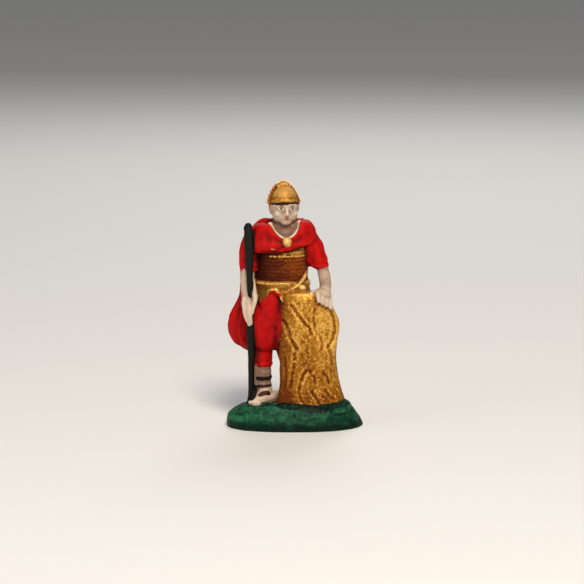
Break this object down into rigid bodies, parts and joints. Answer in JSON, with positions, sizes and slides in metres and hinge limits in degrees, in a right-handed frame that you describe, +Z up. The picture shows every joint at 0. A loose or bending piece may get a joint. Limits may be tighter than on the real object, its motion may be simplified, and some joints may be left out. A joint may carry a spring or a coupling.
{
  "type": "roman soldier statue",
  "caption": "Small hand-painted fired-clay Roman soldier in red mantle and ribbed cuirass, staff in hand, leaning on a tall gilt shield, all moulded as one with a green base.",
  "frame": {"origin": "the middle of the underside of the base, on the plane that it stands on", "axes": "+Z runs up the figure, +X to the side of his left hand and the shield, and -Y out of his chest"},
  "size_m": [0.022, 0.014, 0.04],
  "materials": {
    "painted_clay": "hand-painted acrylic over fired clay"
  },
  "bodies": {
    "root": {"roman_soldier": "painted_clay"}
  },
  "joints": []
}
